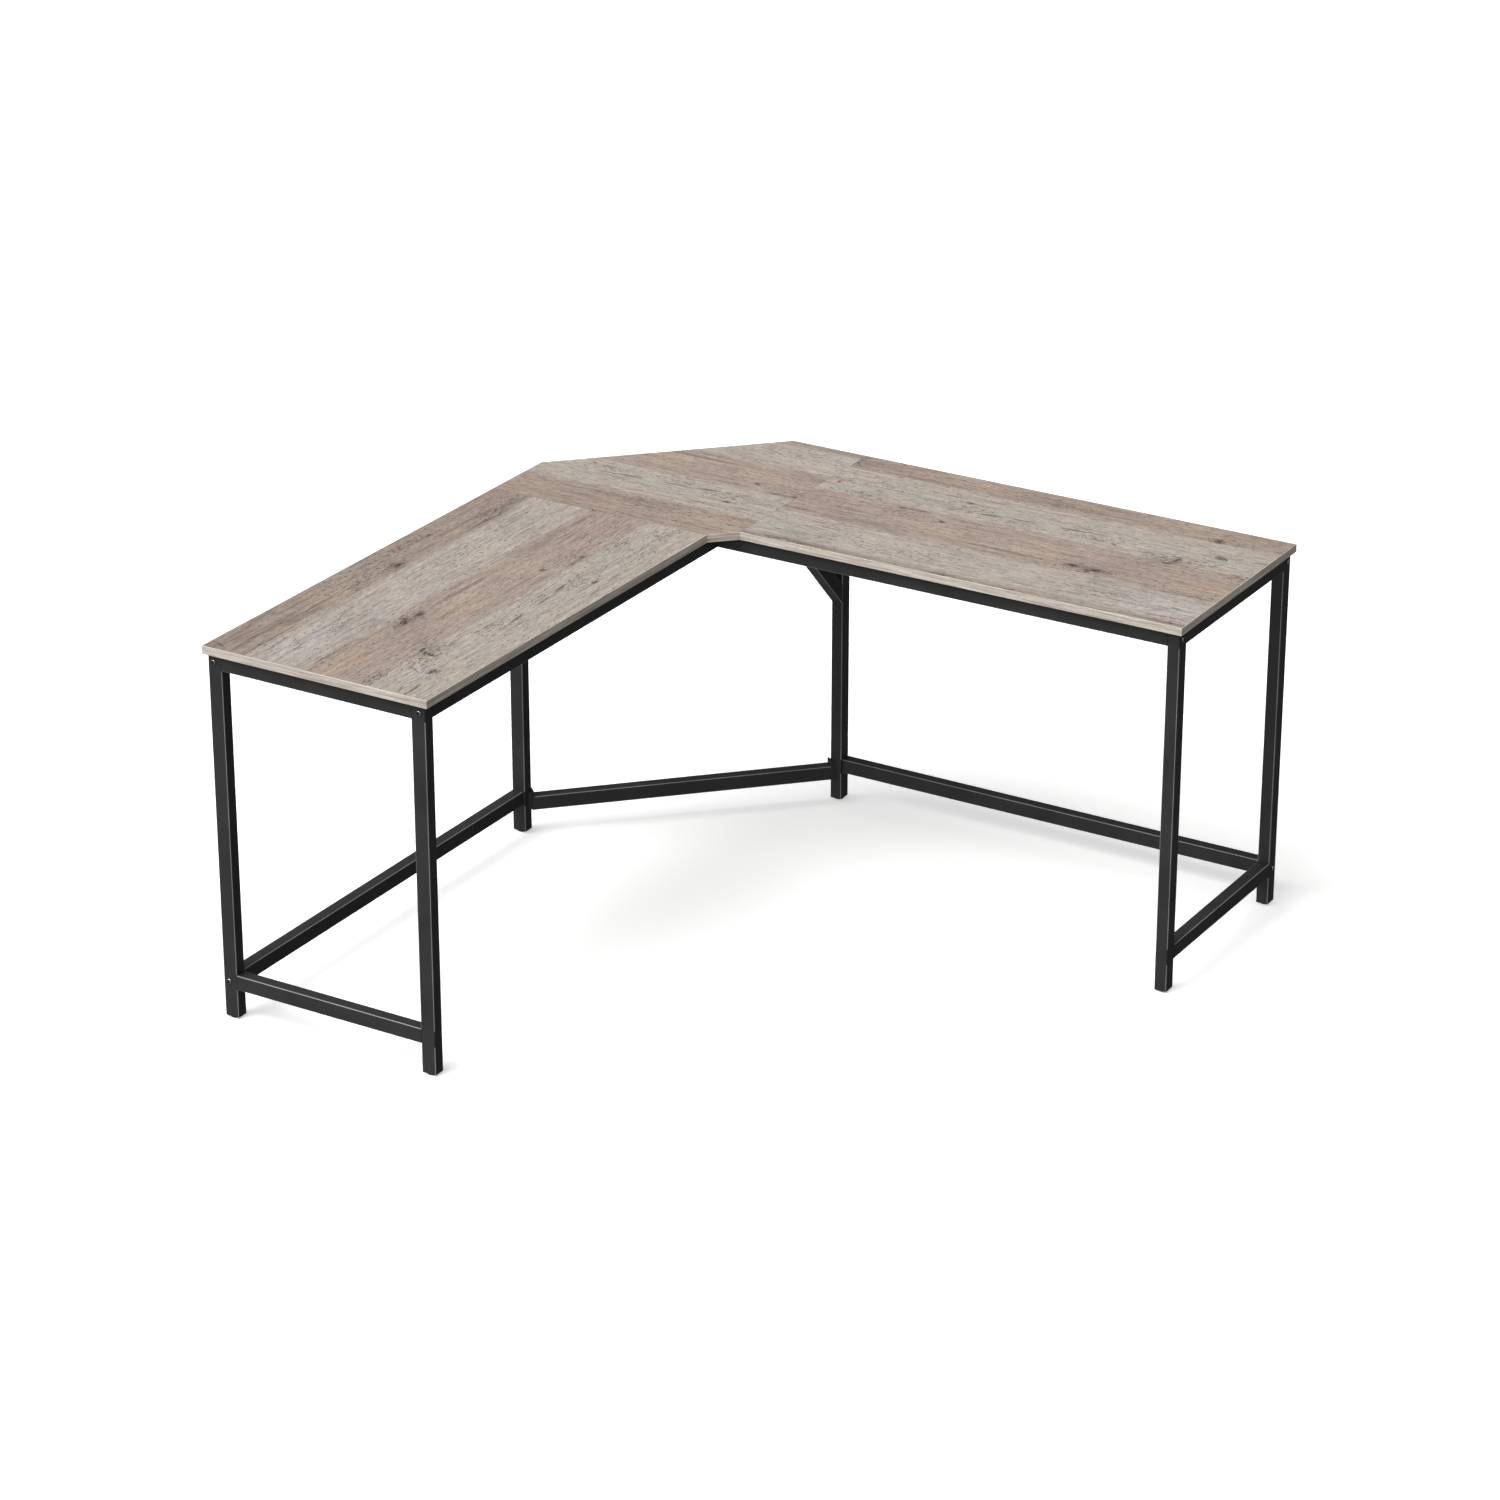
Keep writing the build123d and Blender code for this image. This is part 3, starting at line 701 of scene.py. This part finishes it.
def edge_band():
    """Printed edge band: pale streaks along the board, with dark flecks and a painted highlight on its top
    arris.
    """
    material, tree, shader = new_material("edge_band")
    here = tree.add("TexCoord").outputs["Object"]
    tone = tree.ramp(tree.noise(here, *FINISH_NOISES["band"]), BAND_TONES)
    threads = tree.noise(here, *FINISH_NOISES["band_threads"])
    fleck = tree.spread(tree.noise(here, *FINISH_NOISES["band_flecks"]), *FLECK_STEP)
    shade = tree.math("ADD", swing(tree, threads, BAND_CONTRAST), 1.0)
    colour = tree.mix(1.0, tone, tree.grey(shade), "MULTIPLY")
    colour = tree.mix(tree.math("MULTIPLY", fleck, FLECK_STRENGTH), colour, linear(MARK_SOFT))

    # painted highlight: the band's top arris is made paler, standing in for the light it catches
    upright = tree.split(tree.add("NewGeometry").outputs["Normal"])[2]
    top = tree.spread(upright, *ARRIS_HIGHLIGHT_STEP)
    colour = tree.mix(tree.math("MULTIPLY", top, ARRIS_HIGHLIGHT_STRENGTH), colour, linear(ARRIS_HIGHLIGHT))
    tree.feed(shader.inputs["Base Color"], colour)
    tree.feed(shader.inputs["Roughness"], tree.scaled(threads, *BAND_ROUGH))
    shader.inputs["Specular IOR Level"].default_value = GLANCE["edge_band"]
    bump(tree, shader, threads, RELIEF["edge_band"])
    return material


# how far the surface turns from square where the painted corner highlight and the bolt's painted crown
# glint start and are full
CORNER_HIGHLIGHT_STEP = (0.02, 0.11)
CROWN_GLINT_STEP = (0.08, 0.18)

# a leg's corner counts as upright when its normal rises less than this, and the ground weld reaches
# past the rail by WELD_EDGE metres
UPRIGHT = 0.3
WELD_EDGE = 0.001


def off_square(tree, lean):
    """How far the surface turns away from all three axes: 0 on a square face, 0.29 on a corner."""
    turned = tree.add("VectorRotate", rotation_type="EULER_XYZ")
    tree.feed(turned.inputs["Vector"], tree.add("TexCoord").outputs["Normal"])
    turned.inputs["Rotation"].default_value = lean
    x, y, z = tree.split(tree.vector("ABSOLUTE", turned.outputs[0]))
    return tree.math("SUBTRACT", 1.0, tree.math("MAXIMUM", x, tree.math("MAXIMUM", y, z)))


def ground_flush(tree, here):
    """1 on a leg's corner where a rail's end is welded to it and ground flush; the painted corner
    highlight is left off there.
    """
    rise = tree.split(tree.add("TexCoord").outputs["Normal"])[2]
    upright = tree.math("LESS_THAN", tree.math("ABSOLUTE", rise), UPRIGHT)
    welded = 0.0
    for rail in ("left_end_top_rail", "left_end_lower_rail"):
        low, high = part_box(rail)
        above = tree.math("SUBTRACT", tree.split(here)[2], (low.z + high.z) / 2)
        beside = tree.math("LESS_THAN", tree.math("ABSOLUTE", above), (high.z - low.z) / 2 + WELD_EDGE)
        welded = tree.math("MAXIMUM", welded, beside)
    return tree.math("MULTIPLY", upright, welded)


def black_steel(name, lean=(0, 0, 0)):
    """Satin black powder coat, with its fine orange peel and a painted highlight along its rounded
    corners.

    lean turns a slanting member's faces square to the axes."""
    material, tree, shader = new_material(name)
    here = tree.add("TexCoord").outputs["Object"]
    peel = tree.noise(here, *FINISH_NOISES["peel"])
    cloud = tree.noise(here, *FINISH_NOISES["coat"])
    tone = tree.ramp(cloud, COAT_TONES)
    dust = tree.spread(tree.noise(here, *FINISH_NOISES["dust"]), *DUST_STEP)
    colour = tree.mix(tree.math("MULTIPLY", dust, DUST_STRENGTH), tone, linear(COAT_DUST))
    # painted highlight: the rounded corners are made pale, in patches, to stand in for the light they
    # catch
    corner_highlight = tree.spread(off_square(tree, lean), *CORNER_HIGHLIGHT_STEP)
    corner_highlight = tree.math("MULTIPLY", corner_highlight, tree.spread(cloud, *CORNER_HIGHLIGHT_PATCHES))
    corner_highlight = tree.math("MULTIPLY", corner_highlight, tree.math("SUBTRACT", 1.0, ground_flush(tree, here)))
    tree.feed(shader.inputs["Base Color"], tree.mix(corner_highlight, colour, linear(CORNER_HIGHLIGHT)))
    rough = tree.scaled(cloud, *COAT_ROUGH)
    tree.feed(shader.inputs["Roughness"], tree.math("ADD", rough, tree.math("MULTIPLY", peel, PEEL_ROUGH)))
    shader.inputs["Specular IOR Level"].default_value = GLANCE["black_steel"]
    bump(tree, shader, peel, RELIEF["black_steel"])
    return material


def black_bolt():
    """Black oxide, with a painted glint: the crown of the head is made bright steel to stand in for the
    light it catches.
    """
    material, tree, shader = new_material("black_bolt")
    here = tree.add("TexCoord").outputs["Object"]
    skin = tree.noise(here, *FINISH_NOISES["oxide"])
    oxide = tree.ramp(skin, OXIDE_TONES)
    # painted highlight: the bright crown stands in for the head's glint
    crown_glint = tree.spread(off_square(tree, (0, 0, 0)), *CROWN_GLINT_STEP)
    tree.feed(shader.inputs["Base Color"], tree.mix(crown_glint, oxide, linear(CROWN_GLINT)))
    tree.feed(shader.inputs["Roughness"], tree.spread(skin, *OXIDE_ROUGH))
    shader.inputs["Metallic"].default_value = OXIDE_METAL
    bump(tree, shader, skin, RELIEF["black_bolt"])
    return material


def zinc_steel():
    """Zinc plate, with its cloudy spangle and fine scratches."""
    material, tree, shader = new_material("zinc_steel")
    here = tree.add("TexCoord").outputs["Object"]
    spangle = tree.noise(here, *FINISH_NOISES["spangle"])
    tree.feed(shader.inputs["Base Color"], tree.ramp(spangle, ZINC_TONES))
    tree.feed(shader.inputs["Roughness"], tree.spread(spangle, *ZINC_ROUGH))
    shader.inputs["Metallic"].default_value = ZINC_METAL
    bump(tree, shader, tree.noise(here, *FINISH_NOISES["scratches"]), RELIEF["zinc_steel"])
    return material


def black_plastic():
    """Moulded black plastic with a fine spark texture."""
    material, tree, shader = new_material("black_plastic")
    here = tree.add("TexCoord").outputs["Object"]
    spark = tree.noise(here, *FINISH_NOISES["spark"])
    cloud = tree.noise(here, *FINISH_NOISES["plastic"])
    tree.feed(shader.inputs["Base Color"], tree.ramp(cloud, PLASTIC_TONES))
    tree.feed(shader.inputs["Roughness"], tree.spread(spark, *PLASTIC_ROUGH))
    bump(tree, shader, spark, RELIEF["black_plastic"])
    return material


def brace_slope():
    """The right brace's rise from level, in radians. The left brace mirrors it."""
    low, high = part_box("right_brace")
    return math.atan2(high.z - low.z, high.y - low.y)


# members that lie at a slant, and the turn that squares them to the axes
LEANING = {
    "right_brace": (brace_slope(), 0, 0),
    "left_brace": (0, brace_slope(), 0),
    "lower_corner_rail": (0, 0, math.pi / 4),
    "upper_corner_rail": (0, 0, math.pi / 4),
    "left_lower_corner_seat": (0, 0, math.pi / 4),
    "right_lower_corner_seat": (0, 0, math.pi / 4),
}


def dress_frame():
    """Gives every CAD node the finish of its material slot."""
    sheet = laminate_sheet()
    finishes = {
        "edge_band": edge_band(),
        "black_steel": black_steel("black_steel"),
        "black_bolt": black_bolt(),
        "zinc_steel": zinc_steel(),
        "black_plastic": black_plastic(),
    }
    for name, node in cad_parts.items():
        for place in node.material_slots:
            if name in SHEET_ON:
                place.material = laminate(name, sheet)
            elif name in LEANING:
                place.material = black_steel("black_steel_" + name, LEANING[name])
            else:
                place.material = finishes[place.material.name.split(".")[0]]


# ---------------------------------------------------------------- stage, light and camera

STAGE_RADIUS = 30
WALL_HEIGHT = 40
STAGE_SIDES = 64
FLOOR_GLOW = 0.45
WALL_GLOW = 1.0
PAINT_ROUGH = 0.9


def pale_paint(name, glow):
    """White studio paint with a little light of its own."""
    material, tree, shader = new_material(name)
    here = tree.add("TexCoord").outputs["Object"]
    cloud = tree.noise(here, *FINISH_NOISES["paint"])
    tree.feed(shader.inputs["Base Color"], tree.ramp(cloud, PAINT_TONES))
    shader.inputs["Roughness"].default_value = PAINT_ROUGH
    shader.inputs["Specular IOR Level"].default_value = GLANCE["paint"]
    shader.inputs["Emission Color"].default_value = (1, 1, 1, 1)
    shader.inputs["Emission Strength"].default_value = glow
    return material


def stage_piece(name, corners, faces, glow):
    """A piece of the studio that lights nothing but is seen as pale paint."""
    mesh = bpy.data.meshes.new(name)
    mesh.from_pydata(corners, [], faces)
    mesh.materials.append(pale_paint(name, glow))
    piece = bpy.data.objects.new(name, mesh)
    bpy.context.scene.collection.objects.link(piece)
    piece.visible_glossy = False
    piece.visible_diffuse = False
    return piece


def studio():
    """A round floor with a wall about it; the wall lets the sky's light through."""
    turns = [2 * math.pi * i / STAGE_SIDES for i in range(STAGE_SIDES)]
    ring = [(STAGE_RADIUS * math.cos(t), STAGE_RADIUS * math.sin(t), 0) for t in turns]
    stage_piece("floor", ring, [tuple(range(STAGE_SIDES))], FLOOR_GLOW)
    top = [(x, y, WALL_HEIGHT) for x, y, _ in ring]
    sides = [(i, i + STAGE_SIDES, (i + 1) % STAGE_SIDES + STAGE_SIDES, (i + 1) % STAGE_SIDES)
             for i in range(STAGE_SIDES)]
    wall = stage_piece("wall", ring + top, sides, WALL_GLOW)
    wall.visible_shadow = False


def soft_sun(name, towards, softness, strength):
    """A broad soft light from the direction towards, softness degrees wide."""
    lamp = bpy.data.lights.new(name, "SUN")
    lamp.energy = strength
    lamp.angle = math.radians(softness)
    shown = bpy.data.objects.new(name, lamp)
    bpy.context.scene.collection.objects.link(shown)
    shown.rotation_mode = "QUATERNION"
    shown.rotation_quaternion = Vector(towards).to_track_quat("Z", "Y")


# the sky's brightness by height and towards its bright side: direction from and to, brightness from
# and to
SKY_BY_HEIGHT = (-0.2, 0.2, 0.6, 1.0)
SKY_BY_SIDE = (-0.7, 0.7, 0.25, 1.2)
BRIGHT_SIDE = (-0.3, -0.95, 0)
SKY_STRENGTH = 0.62

# the main light: the direction it comes from, its width in degrees, and its strength
KEY_TOWARDS = (-0.3, -0.5, 0.87)
KEY_SOFTNESS = 44
KEY_STRENGTH = 2.9


def sky():
    """A soft white dome above the floor, dimmer below it and behind the desk."""
    world = bpy.data.worlds.new("studio")
    world.use_nodes = True
    tree = Tree(world.node_tree)
    towards = tree.split(tree.add("TexCoord").outputs["Generated"])
    glow = tree.spread(towards[2], *SKY_BY_HEIGHT)
    side = tree.vector("DOT_PRODUCT", tree.add("TexCoord").outputs["Generated"], BRIGHT_SIDE)
    glow = tree.math("MULTIPLY", glow, tree.spread(side, *SKY_BY_SIDE))
    background = tree.add("Background")
    tree.feed(background.inputs["Color"], tree.grey(glow))
    background.inputs["Strength"].default_value = SKY_STRENGTH
    output = tree.add("OutputWorld")
    tree.tree.links.new(background.outputs[0], output.inputs["Surface"])
    bpy.context.scene.world = world


VIEW_AZIMUTH = 31.07
VIEW_ELEVATION = 23.81
VIEW_DISTANCE = 8.8
VIEW_AIM = Vector((-0.0136, -0.0265, 0.4416))
LENS = 112.44
SENSOR = 36
CLIP_END = 200


def camera():
    """A camera at the photo's viewing angle."""
    data = bpy.data.cameras.new("camera")
    data.lens = LENS
    data.sensor_width = SENSOR
    data.clip_end = CLIP_END
    shown = bpy.data.objects.new("camera", data)
    bpy.context.scene.collection.objects.link(shown)
    turn, rise = math.radians(VIEW_AZIMUTH), math.radians(VIEW_ELEVATION)
    back = Vector((math.sin(turn) * math.cos(rise), -math.cos(turn) * math.cos(rise), math.sin(rise)))
    shown.location = VIEW_AIM + back * VIEW_DISTANCE
    shown.rotation_mode = "QUATERNION"
    shown.rotation_quaternion = (-back).to_track_quat("-Z", "Y")
    bpy.context.scene.camera = shown


dress_frame()
studio()
sky()
soft_sun("key", KEY_TOWARDS, KEY_SOFTNESS, KEY_STRENGTH)
camera()
bpy.context.scene.view_settings.view_transform = "Standard"
